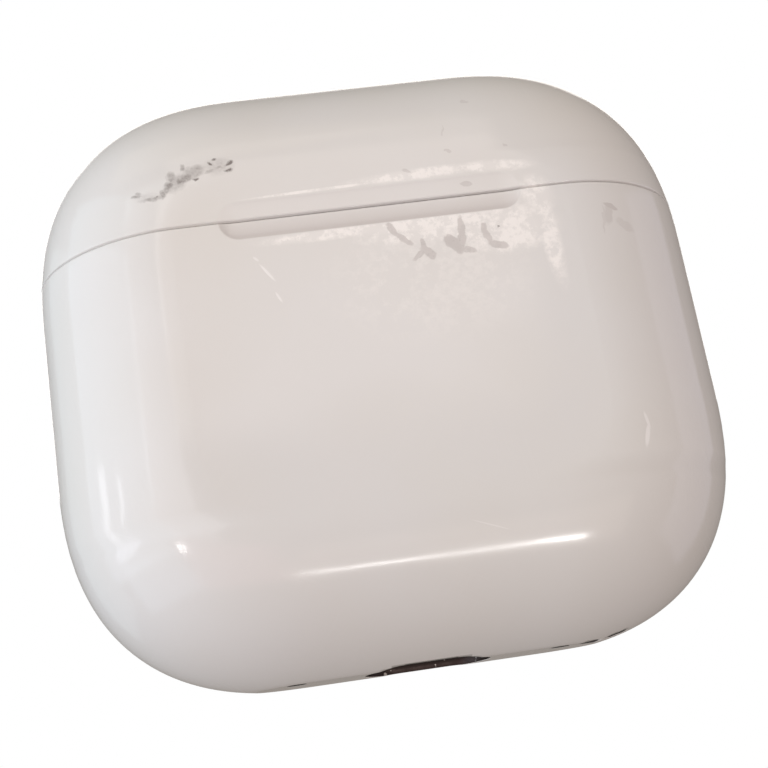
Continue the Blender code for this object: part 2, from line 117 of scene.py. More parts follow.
def object_of(name, points, faces, smooth=True, sharp_above=None):
    """Object from points and faces, its faces turned outwards."""
    mesh = bpy.data.meshes.new(name)
    mesh.from_pydata([tuple(p) for p in points], [], faces)
    bm = bmesh.new()
    bm.from_mesh(mesh)
    bmesh.ops.recalc_face_normals(bm, faces=bm.faces[:])
    bm.to_mesh(mesh)
    bm.free()
    if smooth:
        mesh.shade_smooth()
    if sharp_above:
        mesh.set_sharp_from_angle(angle=math.radians(sharp_above))
    return linked(name, mesh)


def loft(name, rings, sharp_above=None, ends=True):
    """Closed skin over rings of equally many points.

    It has a face across each end, or the last ring joins the first, as in a sleeve.
    """
    count, rows = len(rings[0]), len(rings)
    here = np.arange(count)
    after = (here + 1) % count
    faces = []
    for row in range(rows - 1 if ends else rows):
        low, high = row * count, (row + 1) % rows * count
        faces += np.stack([low + here, low + after, high + after, high + here], 1).tolist()
    if ends:
        faces += [here[::-1].tolist(), (here + (rows - 1) * count).tolist()]
    return object_of(name, np.concatenate(rings), faces, sharp_above=sharp_above)


def join(name, pieces):
    """One object from several, each staying a closed body of its own."""
    bm = bmesh.new()
    for piece in pieces:
        bm.from_mesh(piece.data)
        bpy.data.objects.remove(piece)
    mesh = bpy.data.meshes.new(name)
    bm.to_mesh(mesh)
    bm.free()
    mesh.shade_smooth()
    return linked(name, mesh)


def combine(target, tools, operation="DIFFERENCE", weighted=False):
    """Cuts the tools from the target, or joins them on, and keeps the result as its mesh."""
    for tool in tools:
        modifier = target.modifiers.new(tool.name, "BOOLEAN")
        modifier.operation = operation
        modifier.solver = "EXACT"
        modifier.object = tool
    if weighted:
        modifier = target.modifiers.new("even_normals", "WEIGHTED_NORMAL")
        modifier.keep_sharp = True
        modifier.weight = 80
    graph = bpy.context.evaluated_depsgraph_get()
    made = bpy.data.meshes.new_from_object(target.evaluated_get(graph))
    target.modifiers.clear()
    target.data = made
    for tool in tools:
        bpy.data.objects.remove(tool)
    return target


def stadium(length, width, sides=24, centre=(0, 0)):
    """Slot outline with round ends, its long side along the first direction, as (u, v) rows."""
    turns = np.linspace(-math.pi / 2, math.pi / 2, sides + 1)
    turns = np.concatenate([turns, turns + math.pi])
    shift = np.where(np.arange(len(turns)) <= sides, 1, -1) * (length - width) / 2
    u = centre[0] + shift + width / 2 * np.cos(turns)
    v = centre[1] + width / 2 * np.sin(turns)
    return np.stack([u, v], 1)


def circle(centre, radii, sides=64):
    turns = np.arange(sides) * 2 * math.pi / sides
    return np.stack([centre[0] + radii[0] * np.cos(turns), centre[1] + radii[1] * np.sin(turns)], 1)


def along(direction, outline, place):
    """The outline as 3-D points, standing across X, Y or Z at one place."""
    flat = np.full(len(outline), place)
    u, v = outline[:, 0], outline[:, 1]
    order = {"X": (flat, u, v), "Y": (u, flat, v), "Z": (u, v, flat)}[direction]
    return np.stack(order, 1)


def rounded_box(name, low, high, radius, segments=4):
    """Box between two corners, every edge rounded."""
    low, high = Vector(low), Vector(high)
    bm = bmesh.new()
    bmesh.ops.create_cube(bm, size=1)
    for vert in bm.verts:
        vert.co = Vector(a + (c + 0.5) * (b - a) for c, a, b in zip(vert.co, low, high))
    bmesh.ops.bevel(bm, geom=bm.edges[:], offset=radius, segments=segments, profile=0.5, affect="EDGES")
    mesh = bpy.data.meshes.new(name)
    bm.to_mesh(mesh)
    bm.free()
    mesh.shade_smooth()
    return linked(name, mesh)


# ---- The outer form and its shells


def section(z, inset=0.0):
    """Points (x, y) round the case at one height, on its surface or that far inside it."""
    corner, edge, depth = CORNER - inset, EDGE - inset, HALF_Y - inset
    rise = min(max(abs(z - CENTRE_Z) - (HALF_Z - CORNER), 0), corner)
    power = CORNER_POWER
    straight = max(FLAT**power - rise**power, 0) ** (1 / power)
    widest = max(corner**power - rise**power, 0) ** (1 / power)
    reach = straight + (widest - straight) * np.sin(np.linspace(0, math.pi / 2, ARC_COLUMNS + 1))
    share = np.clip(((reach**power + rise**power) ** (1 / power) - FLAT) / edge, 0, 1)
    y = depth * (1 - share**EDGE_POWER) ** (1 / EDGE_POWER)
    x = HALF_X - CORNER + reach
    front = np.linspace(-x[0], x[0], FRONT_COLUMNS + 1)[:-1]
    back = np.linspace(x[0], -x[0], BACK_COLUMNS + 1)[:-1]
    quarter = np.stack([x, y], 1)
    return np.concatenate([
        np.stack([front, np.full_like(front, -y[0])], 1),
        (quarter * (1, -1))[:-1],
        quarter[::-1][:-1],
        np.stack([back, np.full_like(back, y[0])], 1),
        (quarter * (-1, 1))[:-1],
        (quarter * (-1, -1))[::-1][:-1],
    ])


def notch_depth(x, z):
    """Depth of the thumb notch, a shallow scoop with round ends centred on the seam.

    It runs out smoothly and is shallower on the lid.
    """
    past_end = np.maximum(np.abs(x) - (NOTCH_HALF - NOTCH_RADIUS), 0)
    up = z - SEAM_Z
    to_edge = NOTCH_RADIUS - np.hypot(past_end, up)
    out = np.hypot(past_end, up) / NOTCH_RADIUS
    scoop = np.where(up > 0, NOTCH_LID_SHARE * (1 - out**1.5), 1 - out**2.4)
    eased = np.clip(to_edge / NOTCH_SOFT, 0, 1)
    return NOTCH_DEPTH * np.maximum(scoop, 0) * eased * (2 - eased)


def groove_limit(x, y):
    """Highest z of the body's back rim, which leaves room for the lid's edge to swing."""
    away = np.clip(np.abs(y - AXIS.y), 0, GROOVE_RADIUS)
    depth = np.sqrt(GROOVE_RADIUS**2 - away**2)
    fade = np.clip((GROOVE_HALF + 0.5 * MM - np.abs(x)) / (0.5 * MM), 0, 1)
    return np.where(np.abs(y - AXIS.y) < GROOVE_RADIUS, AXIS.z - depth * fade, 1.0)


def shell_ring(z, inset=0.0):
    """One ring of a shell, with the notch pressed into its front, less and less towards the inside."""
    flat = section(z, inset)
    x, y = flat[:, 0], flat[:, 1].copy()
    front = y < -0.9 * HALF_Y + inset
    y[front] += notch_depth(x[front], z) * (1 - inset / WALL)
    return np.stack([x, y, np.full_like(x, z)], 1)


def rim_rings(up):
    """Rings over a shell's rim, from outside to inside. up is 1 for the body and -1 for the lid."""
    turns = np.linspace(0, math.pi / 2, 5)
    groove, rim = SEAM_Z - up * SEAM_HALF, SEAM_Z - up * SEAM_CLOSED
    rows = []
    for turn in turns:
        rows.append((groove - up * RIM_FILLET * (1 - math.sin(turn)), RIM_FILLET * (1 - math.cos(turn))))
    rows += [(rim, inset) for inset in np.linspace(RIM_FILLET + 0.05 * MM, WALL - RIM_FILLET, 7)]
    for turn in turns[1:]:
        inset = WALL - RIM_FILLET * (1 - math.sin(turn))
        rows.append((rim - up * RIM_FILLET * (1 - math.cos(turn)), inset))
    return [shell_ring(z, inset) for z, inset in rows]


def edge_heights(inset, low_turn, rows):
    """Distances from the middle height over the rounded edge, from its end to where the sides begin."""
    turns = np.linspace(low_turn, math.pi / 2, rows)
    return HALF_Z - CORNER + FLAT + (EDGE - inset) * np.cos(turns)


def body_shell():
    foot_turn = math.acos((CENTRE_Z - (HALF_Z - CORNER) - FLAT) / EDGE)
    rows = [CENTRE_Z - away for away in edge_heights(0, foot_turn, EDGE_ROWS)]
    notch_low = SEAM_Z - NOTCH_RADIUS - 0.3 * MM
    rows += np.linspace(rows[-1], notch_low, 16)[1:].tolist()
    rim = SEAM_Z - SEAM_HALF
    rows += np.arange(notch_low + NOTCH_STEP, rim - RIM_FILLET - NOTCH_STEP / 2, NOTCH_STEP).tolist()
    foot = section(0.0) * (1 - 0.15 * MM / HALF_Y)
    rings = [along("Z", foot, 0.0)] + [shell_ring(z) for z in rows] + rim_rings(1)
    inner_rows = [CENTRE_Z - away for away in edge_heights(WALL, 0.04, 14)]
    inner_rows += np.linspace(inner_rows[-1], rim - RIM_FILLET, 9)[1:-1].tolist()
    rings += [along("Z", section(z, WALL), z) for z in inner_rows[::-1]]
    for ring in rings:
        ring[:, 2] = np.minimum(ring[:, 2], groove_limit(ring[:, 0], ring[:, 1]))
    shell = loft("body_shell_finish", rings)
    cutters = [port_cutter()] + [slot_cutter(i, *slot) for i, slot in enumerate(SLOTS)]
    # The window in the back that the hinge bar shows through
    low = (-10.6 * MM, 8.6 * MM, AXIS.z - 2.8 * MM)
    high = (10.6 * MM, 14 * MM, SEAM_Z + 2 * MM)
    cutters.append(rounded_box("body_window", low, high, WINDOW_FILLET))
    return combine(shell, [join("body_cutters", cutters)], weighted=True)


def lid_shell():
    rim = SEAM_Z + SEAM_HALF
    rows = [CENTRE_Z + away for away in edge_heights(0, 0.03, EDGE_ROWS)]
    notch_high = SEAM_Z + NOTCH_RADIUS + 0.3 * MM
    rows += np.linspace(rows[-1], notch_high, 4)[1:].tolist()
    rows += np.arange(notch_high - NOTCH_STEP, rim + RIM_FILLET + NOTCH_STEP / 2, -NOTCH_STEP).tolist()
    rings = [shell_ring(z) for z in rows] + rim_rings(-1)
    inner_rows = [CENTRE_Z + away for away in edge_heights(WALL, 0.04, 14)]
    inner_rows += np.linspace(inner_rows[-1], rim + RIM_FILLET, 5)[1:-1].tolist()
    rings += [along("Z", section(z, WALL), z) for z in inner_rows[::-1]]
    shell = loft("lid_shell_finish", rings)
    low = (-12.4 * MM, 7 * MM, SEAM_Z - 2 * MM)
    high = (12.4 * MM, 14 * MM, AXIS.z + 1.4 * MM)
    return combine(shell, [rounded_box("lid_window", low, high, WINDOW_FILLET)])


# ---- Underside: charging port and sound slots

PORT_LENGTH, PORT_WIDTH = 9.2 * MM, 5.4 * MM
PORT_Y = -0.2 * MM  # middle of the mouth
PORT_ROUND = 0.06 * MM
# x and width of each sound slot
SLOTS = ((-9.6 * MM, 1.2 * MM), (9.6 * MM, 1.2 * MM), (11.7 * MM, 0.9 * MM), (13.85 * MM, 0.6 * MM))
SLOT_Y = -1.3 * MM
SLOT_LENGTH = 1.5 * MM
FLARE = math.radians(75)  # where a rounded mouth's cutter leaves the arc
PADS = 12  # contact pads on each face of the tongue


def flared(name, outline, rounding, deep):
    """Cutter for a hole into the foot whose mouth is rounded. outline takes how much wider it is."""
    rings = [along("Z", outline(rounding * (1 - math.cos(FLARE)) + MM * math.tan(FLARE)), -MM)]
    for turn in np.linspace(FLARE, 0, 6):
        wider = rounding * (1 - math.cos(turn))
        rings.append(along("Z", outline(wider), rounding * (1 - math.sin(turn))))
    rings.append(along("Z", outline(0), deep))
    return loft(name, rings)


def port_cutter():
    def outline(wider):
        return stadium(PORT_LENGTH + 2 * wider, PORT_WIDTH + 2 * wider, centre=(0, PORT_Y))

    return flared("port_cutter", outline, PORT_ROUND, 3 * MM)


def slot_cutter(index, x, width):
    outline = stadium(SLOT_LENGTH, width, 8, (x, SLOT_Y))
    return loft(f"slot_cutter_{index}", [along("Z", outline, z) for z in (-2 * MM, 3 * MM)])


def foot_height(outline):
    """Height of the underside at each (x, y) of an outline: 0 on the flat, and rising round it."""
    reach = np.maximum(np.abs(outline[:, 0]) - (HALF_X - CORNER), 0)
    share = (1 - (np.abs(outline[:, 1]) / HALF_Y) ** EDGE_POWER) ** (1 / EDGE_POWER)
    rise = ((FLAT + EDGE * share) ** CORNER_POWER - reach**CORNER_POWER) ** (1 / CORNER_POWER)
    return np.maximum(CENTRE_Z - (HALF_Z - CORNER) - rise, 0)


def on_foot(outline, up):
    """The outline laid on the underside, that far above it."""
    return np.column_stack([outline, foot_height(outline) + up])


def slot_shade_meshes():
    """Dark dust mesh flush inside each sound slot, which also stands in for painted shade of the slot's
    depth.
    """
    made = []
    for index, (x, width) in enumerate(SLOTS):
        rings = []
        for less, up in ((0.1 * MM, 0.012 * MM), (0.04 * MM, 0.025 * MM), (0.04 * MM, 0.7 * MM)):
            rings.append(on_foot(stadium(SLOT_LENGTH - less, width - less, 8, (x, SLOT_Y)), up))
        made.append(loft(f"slot_shade_mesh_{index}", rings, sharp_above=50))
    return join("slot_shade_mesh", made)


def port_shell():
    """Steel mouth of the port: a deep-drawn tube that flares to a lip flush with the foot."""
    both = Vector((1, 1)) * MM
    low, high = 0.03 * MM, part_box("port_shell")[1].z
    mouth = Vector((PORT_LENGTH, PORT_WIDTH)) - both * 0.02
    lip = mouth - both * 0.3
    inner = Vector((8.34, 2.66)) * MM
    neck = inner + both * 0.6
    # Each row: length and width, how far it shares the mouth's offset, and its height above the foot.
    rows = [(mouth, 1, low + 0.5 * MM), (mouth, 1, low + 0.04 * MM)]
    rows += [(mouth - both * 0.08, 1, low), (lip, 1, low + 0.02 * MM)]
    for turn in np.linspace(0, math.pi / 2, 7)[1:]:
        outer = math.cos(turn)
        up = low + 0.02 * MM + 0.8 * MM * math.sin(turn)
        rows.append((lip * outer + inner * (1 - outer), outer, up))
    rows += [(inner, 0, high), (neck, 0, high), (neck, 0, low + 1.4 * MM)]
    rings = [on_foot(stadium(*size, centre=(0, PORT_Y * outer)), up) for size, outer, up in rows]
    return loft("port_shell_finish", rings, 40, ends=False)


def port_tongue():
    """Contact tongue with a row of pads on each face, and the block it grows from."""
    low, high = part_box("port_tongue")
    half_x, half_y, top = 3.35 * MM, 0.35 * MM, 5.3 * MM
    blade = rounded_box("tongue_blade", (-half_x, -half_y, low.z), (half_x, half_y, top), 0.12 * MM)
    base = loft("tongue_base", [
        along("Z", stadium(7.6 * MM, 1.9 * MM), 5.1 * MM),
        along("Z", stadium(8.0 * MM, 2.3 * MM), top),
        along("Z", stadium(8.0 * MM, 2.3 * MM), high.z),
    ], sharp_above=40)
    pads = []
    for index in range(PADS):
        x = (index - (PADS - 1) / 2) * 0.5 * MM
        for face in (-1, 1):
            near, far = sorted((face * 0.34 * MM, face * 0.375 * MM))
            low, high = (x - 0.13 * MM, near, 1.5 * MM), (x + 0.13 * MM, far, 4.6 * MM)
            pads.append(rounded_box(f"pad_{index}_{face}", low, high, 0.01 * MM, 1))
    return join("port_tongue_finish", [blade, base]), join("port_pads", pads)


# ---- Bays


def dome(name, centre, radii, rim_z, up):
    """Half ellipsoid with its flat side at rim_z. up is the way that side faces."""
    rings = []
    for turn in np.linspace(0, math.pi / 2, 24)[:-1]:
        level = circle(centre, (radii.x * math.cos(turn), radii.y * math.cos(turn)), 96)
        rings.append(along("Z", level, rim_z - up * radii.z * math.sin(turn)))
    return loft(name, rings)


def bowl(name, centre, radii, rim_z, up, fillet):
    """Half ellipsoid whose mouth flares into the face at rim_z. up is the way the mouth faces."""
    rings = []
    top = rim_z + up * MM
    flare = fillet * (1 - math.cos(FLARE)) + MM * math.tan(FLARE)
    rings.append(along("Z", circle(centre, (radii.x + flare, radii.y + flare), 96), top))
    for turn in np.linspace(FLARE, 0, 7):
        wider = fillet * (1 - math.cos(turn))
        z = rim_z - up * fillet * (1 - math.sin(turn))
        rings.append(along("Z", circle(centre, (radii.x + wider, radii.y + wider), 96), z))
    start = rim_z - up * fillet
    for turn in np.linspace(0, math.pi / 2, 26)[1:-1]:
        round_radii = (radii.x * math.cos(turn), radii.y * math.cos(turn))
        z = start - up * (radii.z - fillet) * math.sin(turn)
        rings.append(along("Z", circle(centre, round_radii, 96), z))
    return loft(name, rings)


def lined_plate(name, low, high, face_up):
    """Plate that fills the case between two heights, its edge rounded on the face that shows."""
    fillet = 0.3 * MM
    hidden, shown, up = (low, high, 1) if face_up else (high, low, -1)
    rows = [(hidden, 0.0)]
    for turn in np.linspace(0, math.pi / 2, 5):
        rows.append((shown - up * fillet * (1 - math.sin(turn)), fillet * (1 - math.cos(turn))))
    rows.append((shown, fillet + 0.2 * MM))
    return loft(name, [along("Z", section(z, LINING + inset)[::2], z) for z, inset in rows])


def bay_tray():
    """Deck with a filleted bowl for each earbud and a round way down to its stem well."""
    tray = lined_plate("bay_tray_finish", DECK_TOP - DECK_THICK, DECK_TOP, True)
    walls, cuts = [], []
    wall = Vector((BAY_WALL,) * 3)
    for side, sign in SIDES:
        centre = (sign * BAY_X, BAY_Y)
        walls.append(dome(f"bowl_{side}_wall", centre, BAY_RADII + wall, DECK_TOP - WALL_SUNK, 1))
        cuts.append(bowl(f"bowl_{side}", centre, BAY_RADII, DECK_TOP, 1, LIP_FILLET))
        stem = (sign * STEM_X, STEM_Y)
        way = circle(stem, (STEM_RADIUS + BAY_WALL + 0.1 * MM,) * 2)
        cuts.append(loft(f"stem_{side}_way", [along("Z", way, z) for z in (15 * MM, 29.7 * MM)]))
        cuts.append(flared_mouth(f"stem_{side}_mouth", stem))
    combine(tray, walls, "UNION")
    low, high = (-10.9 * MM, 7.7 * MM, 20 * MM), (10.9 * MM, 14 * MM, DECK_TOP + MM)
    cuts.append(rounded_box("tray_back", low, high, 0.3 * MM))
    return combine(tray, cuts, weighted=True)


def flared_mouth(name, centre):
    """Cutter for the round way to a stem well, its mouth rounded where it meets the deck."""
    rings = []
    radius, fillet = STEM_RADIUS, LIP_FILLET
    wide = radius + fillet * (1 - math.cos(FLARE)) + MM * math.tan(FLARE)
    rings.append(along("Z", circle(centre, (wide, wide)), DECK_TOP + MM))
    for turn in np.linspace(FLARE, 0, 6):
        r = radius + fillet * (1 - math.cos(turn))
        rings.append(along("Z", circle(centre, (r, r)), DECK_TOP - fillet * (1 - math.sin(turn))))
    rings.append(along("Z", circle(centre, (radius, radius)), 25 * MM))
    return loft(name, rings)


def stem_well(side, sign):
    """Tube for an earbud's stem, closed at the bottom and cut to the bowl at the top."""
    centre = (sign * STEM_X, STEM_Y)
    low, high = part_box(f"stem_well_{side}")
    outer, inner = STEM_RADIUS + BAY_WALL, STEM_RADIUS
    rows = [(outer - 0.4 * MM, low.z), (outer, low.z + 0.4 * MM), (outer, high.z - 0.05 * MM)]
    rows += [(inner, high.z - 0.05 * MM), (inner, low.z + BAY_WALL + 0.3 * MM)]
    rows += [(inner - 0.3 * MM, low.z + BAY_WALL)]
    well = loft(f"stem_well_{side}_finish", [along("Z", circle(centre, (r, r)), z) for r, z in rows], 40)
    bay = (sign * BAY_X, BAY_Y)
    return combine(well, [bowl(f"well_{side}_cut", bay, BAY_RADII, DECK_TOP, 1, LIP_FILLET)])


def lid_liner():
    """Inner face of the lid, with a filleted hollow over each earbud."""
    liner = lined_plate("lid_liner_finish", LINER_BOTTOM, LINER_BOTTOM + DECK_THICK, False)
    walls, cuts = [], []
    wall = Vector((BAY_WALL,) * 3)
    for side, sign in SIDES:
        centre = (sign * BAY_X, BAY_Y)
        wall_rim = LINER_BOTTOM + WALL_SUNK
        walls.append(dome(f"hollow_{side}_wall", centre, LID_BAY_RADII + wall, wall_rim, -1))
        cuts.append(bowl(f"hollow_{side}", centre, LID_BAY_RADII, LINER_BOTTOM, -1, LIP_FILLET))
    combine(liner, walls, "UNION")
    low, high = (-12.6 * MM, 7.7 * MM, 20 * MM), (12.6 * MM, 14 * MM, TOP_Z)
    cuts.append(rounded_box("liner_back", low, high, 0.3 * MM))
    return combine(liner, cuts, weighted=True)


# ---- Hinge

BAR_RADIUS = 0.95  # mm


def bar_profile(bevel):
    """Outline (y, z) of the hinge's fixed half: the round bar, the strip below it and the inner leaf."""
    points = []
    for turn in np.radians(np.linspace(-10, 238, 40)):
        points.append((BAR_RADIUS * math.cos(turn), BAR_RADIUS * math.sin(turn)))
    points += [(-0.3, -1.85), (-0.95, -1.9), (-1.0, -6.1), (-1.6, -6.1), (-1.6, -2.15)]
    points += [(-1.35, -2.4), (0.75, -2.45), (0.9, -2.3), (0.92, -0.3)]
    middle = Vector((0, -1.2))
    moved = []
    for y, z in points:
        inwards = (middle - Vector((y, z))).normalized() * bevel
        moved.append((AXIS.y + y * MM + inwards.x, AXIS.z + z * MM + inwards.y))
    return np.array(moved)


def hinge_bar():
    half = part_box("hinge_bracket")[1].x
    rows = [(-half, 0.12 * MM), (-half + 0.04 * MM, 0.04 * MM), (-half + 0.12 * MM, 0.0)]
    rows += [(-x, bevel) for x, bevel in rows[::-1]]
    bar = loft("hinge_bar", [along("X", bar_profile(bevel), x) for x, bevel in rows], 30)
    holes = []
    for side, sign in SIDES:
        hole = circle((sign * 3.2 * MM, 28.7 * MM), (0.6 * MM,) * 2, 32)
        holes.append(loft(f"bar_hole_{side}", [along("Y", hole, y) for y in (7 * MM, 9.2 * MM)]))
    return combine(bar, holes)


# ---- Materials


class Look:
    """A material under construction. Sockets take numbers, colours or another node's output."""

    def __init__(self, name):
        self.material = bpy.data.materials.new(name)
        self.material.use_nodes = True
        self.tree = self.material.node_tree
        self.shader = self.tree.nodes["Principled BSDF"]
        self.place = self.tree.nodes.new("ShaderNodeTexCoord").outputs["Object"]

    def add(self, kind, sockets=(), **settings):
        made = self.tree.nodes.new("ShaderNode" + kind)
        for key, value in settings.items():
            setattr(made, key, value)
        for key, value in dict(sockets).items():
            self.put(made.inputs[key], value)
        return made.outputs[0]

    def put(self, socket, value):
        if isinstance(value, bpy.types.NodeSocket):
            self.tree.links.new(value, socket)
        elif hasattr(socket.default_value, "__len__") and len(socket.default_value) == 4:
            socket.default_value = (*value[:3], 1)
        else:
            socket.default_value = value

    def set(self, **values):
        for key, value in values.items():
            self.put(self.shader.inputs[key.replace("_", " ")], value)
        return self

    def math(self, operation, a, b=0.0, c=0.0, clamp=False):
        return self.add("Math", {0: a, 1: b, 2: c}, operation=operation, use_clamp=clamp)

    def noise(self, scale, detail=3.0, vector=None, roughness=0.5):
        sockets = {"Vector": vector or self.place, "Scale": scale}
        return self.add("TexNoise", sockets | {"Detail": detail, "Roughness": roughness})

    def remap(self, value, low, high, to_low=0.0, to_high=1.0, smooth=False):
        sockets = {"Value": value, "From Min": low, "From Max": high}
        sockets |= {"To Min": to_low, "To Max": to_high}
        return self.add("MapRange", sockets, interpolation_type="SMOOTHSTEP" if smooth else "LINEAR")

    def mix(self, share, first, second):
        made = self.tree.nodes.new("ShaderNodeMix")
        made.data_type = "RGBA"
        for key, value in ((0, share), (6, first), (7, second)):
            self.put(made.inputs[key], value)
        return made.outputs[2]

    def vector(self, operation, a, b=(0, 0, 0), c=(0, 0, 0)):
        made = self.tree.nodes.new("ShaderNodeVectorMath")
        made.operation = operation
        for socket, value in zip(made.inputs, (a, b, c)):
            self.put(socket, value)
        return made.outputs["Vector"]

    def length(self, vector):
        made = self.tree.nodes.new("ShaderNodeVectorMath")
        made.operation = "LENGTH"
        self.put(made.inputs[0], vector)
        return made.outputs["Value"]

    def turned(self, angles, scale, place=(0, 0, 0), vector=None):
        """The place coordinates, moved, turned and stretched."""
        sockets = {
            "Vector": vector or self.place, "Location": place, "Rotation": Euler(angles), "Scale": scale,
        }
        return self.add("Mapping", sockets, vector_type="TEXTURE")

    def bump(self, height, distance, strength=1.0):
        return self.add("Bump", {"Height": height, "Distance": distance, "Strength": strength})

    def hairlines(self, angle, seed, sparse=0.62):
        """Thin straight scratches all lying about one way in the front view, 0 to 1."""
        size = (9 * MM, 5 * MM, 0.07 * MM)
        stretched = self.turned((0, math.radians(angle), 0), size, (seed * MM, 0, 0))
        lines = self.noise(1.0, 2.0, stretched, 0.35)
        patches = self.noise(170.0, 1.0, self.turned((0, 0, 0), (1, 1, 1), (seed, 0, 0)))
        fine = self.remap(lines, sparse, sparse + 0.1)
        return self.math("MULTIPLY", fine, self.remap(patches, 0.45, 0.6))


# Marks on the front: the two ends (x, z) of each one's long way and its half width in mm, its strength.
DIRT = (
    ((-16.8, 34.95), (-16.15, 34.85), 0.2, 0.8),
    ((-16.4, 35.3), (-16.15, 35.0), 0.2, 0.5),
    ((-16.35, 34.5), (-14.4, 34.5), 0.28, 0.62),
    ((-15.05, 34.6), (-14.85, 34.6), 0.13, 1.0),
    ((-14.5, 34.3), (-14.6, 35.1), 0.24, 0.7),
    ((-14.5, 34.6), (-13.95, 35.45), 0.3, 0.6),
    ((-14.2, 35.6), (-13.8, 35.1), 0.36, 0.75),
    ((-13.95, 36.3), (-13.65, 35.4), 0.48, 0.6),
    ((-13.7, 35.35), (-12.3, 36.0), 0.5, 0.85),
    ((-13.05, 36.9), (-12.9, 36.3), 0.22, 0.7),
    ((-12.9, 36.15), (-11.4, 36.2), 0.62, 0.55),
    ((-14.3, 34.9), (-12.7, 35.9), 0.75, 0.4),
    ((-11.3, 36.3), (-9.5, 36.3), 0.85, 0.26),
    ((-16.7, 34.9), (-14.4, 34.4), 0.45, 0.16),
    ((-12.4, 35.55), (-11.9, 35.5), 0.17, 1.2),
    ((-11.05, 36.75), (-10.9, 36.4), 0.15, 1.1),
    ((-10.85, 36.95), (-10.4, 36.93), 0.14, 0.9),
    ((-11.35, 35.85), (-10.65, 36.05), 0.2, 0.5),
    ((-10.7, 36.2), (-9.95, 36.15), 0.16, 0.55),
    ((-9.95, 36.3), (-9.35, 36.7), 0.22, 1.25),
    ((-10.1, 35.75), (-9.4, 35.95), 0.16, 1.1),
    ((8.7, 29.13), (8.85, 29.05), 0.09, 0.8),
)
SMUDGES = (
    ((0.95, 30.35), (1.5, 29.3), 0.27, 1.0),
    ((1.35, 29.5), (2.5, 28.5), 0.26, 1.0),
    ((3.15, 28.85), (3.35, 27.9), 0.2, 1.0),
    ((3.1, 28.1), (3.95, 27.4), 0.38, 1.0),
    ((3.45, 28.0), (2.4, 27.35), 0.24, 0.9),
    ((6.2, 30.3), (6.1, 28.5), 0.28, 1.0),
    ((6.15, 28.9), (5.8, 27.8), 0.38, 1.0),
    ((4.95, 28.75), (5.9, 27.6), 0.52, 1.1),
    ((5.9, 27.75), (6.9, 27.45), 0.27, 0.9),
    ((7.8, 29.45), (7.7, 28.8), 0.27, 1.0),
    ((7.7, 29.1), (8.15, 27.9), 0.26, 1.0),
    ((8.0, 28.0), (9.2, 27.5), 0.32, 1.0),
    ((16.9, 30.05), (17.9, 29.6), 0.22, 0.9),
    ((17.2, 29.9), (16.9, 28.5), 0.4, 0.55),
    ((17.7, 28.8), (18.7, 28.0), 0.45, 0.35),
    ((16.75, 29.9), (16.45, 27.6), 0.12, 0.4),
    ((6.0, 35.45), (6.45, 35.38), 0.13, 0.7),
    ((10.25, 35.42), (10.7, 35.42), 0.12, 0.7),
    ((2.75, 34.4), (3.2, 34.1), 0.15, 0.7),
    ((6.85, 32.72), (7.45, 32.7), 0.22, 0.7),
    ((8.15, 40.0), (8.6, 39.75), 0.16, 0.5),
    ((6.28, 37.7), (6.08, 36.7), 0.08, 0.5),
)
SCRATCHES = (
    ((-8.85, 29.0), (-8.5, 28.65), 0.11, 0.7),
    ((-8.5, 28.45), (-7.5, 26.95), 0.12, 1.0),
    ((-7.65, 26.2), (-7.25, 25.35), 0.1, 0.9),
    ((16.4, 14.35), (16.65, 13.0), 0.14, 0.8),
    ((16.6, 13.5), (16.1, 11.8), 0.2, 0.9),
    ((3.0, 8.5), (5.9, 7.4), 0.06, 0.4),
)
# Rubbed patches round the thumb notch, partly worn gloss and partly painted highlights and a painted
# reflection: centre (x, z) and half sizes in mm, turn in degrees, strength.
RUBBED_AND_HIGHLIGHTS = (
    ((-2.5, 30.05), (7.5, 0.55), 1.0, 1.0),
    ((4.0, 29.9), (7.5, 0.8), 0.0, 1.2),
    ((4.5, 29.3), (7.5, 1.1), 0.0, 0.8),
    ((9.3, 28.9), (4.6, 2.5), 0.0, 1.0),
    ((12.4, 28.2), (0.9, 5.2), 3.0, 0.9),
    ((12.1, 31.3), (1.5, 1.9), 20.0, 0.9),
    ((-3.5, 33.55), (6.5, 0.16), 1.0, 1.0),
    ((4.0, 33.9), (6.5, 0.55), 1.0, 1.0),
    ((9.5, 33.85), (3.4, 0.6), -4.0, 1.0),
    ((3.5, 26.0), (9.5, 6.0), 0.0, 0.22),
)


def marks(look, spots, vector, sharpness):
    """0 to 1 over a list of marks: each is an ellipse, and the strongest counts."""
    found = 0.0
    for (x0, z0), (x1, z1), half_width, strength in spots:
        centre = ((x0 + x1) / 2 * MM, -HALF_Y, (z0 + z1) / 2 * MM)
        half_long = math.hypot(x1 - x0, z1 - z0) / 2 + half_width * 0.5
        tilt = -math.atan2(z1 - z0, x1 - x0)
        size = (half_long * MM, 8 * MM, half_width * MM)
        local = look.turned((0, tilt, 0), size, centre, vector)
        inside = look.math("MULTIPLY_ADD", look.length(local), -sharpness, sharpness)
        inside = look.math("MULTIPLY", look.math("MINIMUM", inside, 1.0), strength)
        found = look.math("MAXIMUM", inside, found)
    return found


WHITE = (0.80, 0.785, 0.775)
HAIRLINE = (0.9, 0.89, 0.88)
# Worn gloss with painted highlights and a painted reflection round the thumb notch
RUBBED_HIGHLIGHT_WHITE = (0.985, 0.955, 0.93)
# Painted lighter tone for the upper half of the thumb notch
NOTCH_PAINTED_LIGHT = (0.95, 0.93, 0.915)
SCRATCHED_WHITE = (0.96, 0.94, 0.93)
# Painted shade for the lower half of the thumb notch
NOTCH_PAINTED_SHADE = (0.60, 0.55, 0.535)
SEAM_GRIME = (0.33, 0.28, 0.26)
SMUDGE_GREY = (0.57, 0.53, 0.515)
DIRT_BROWN = (0.15, 0.12, 0.11)


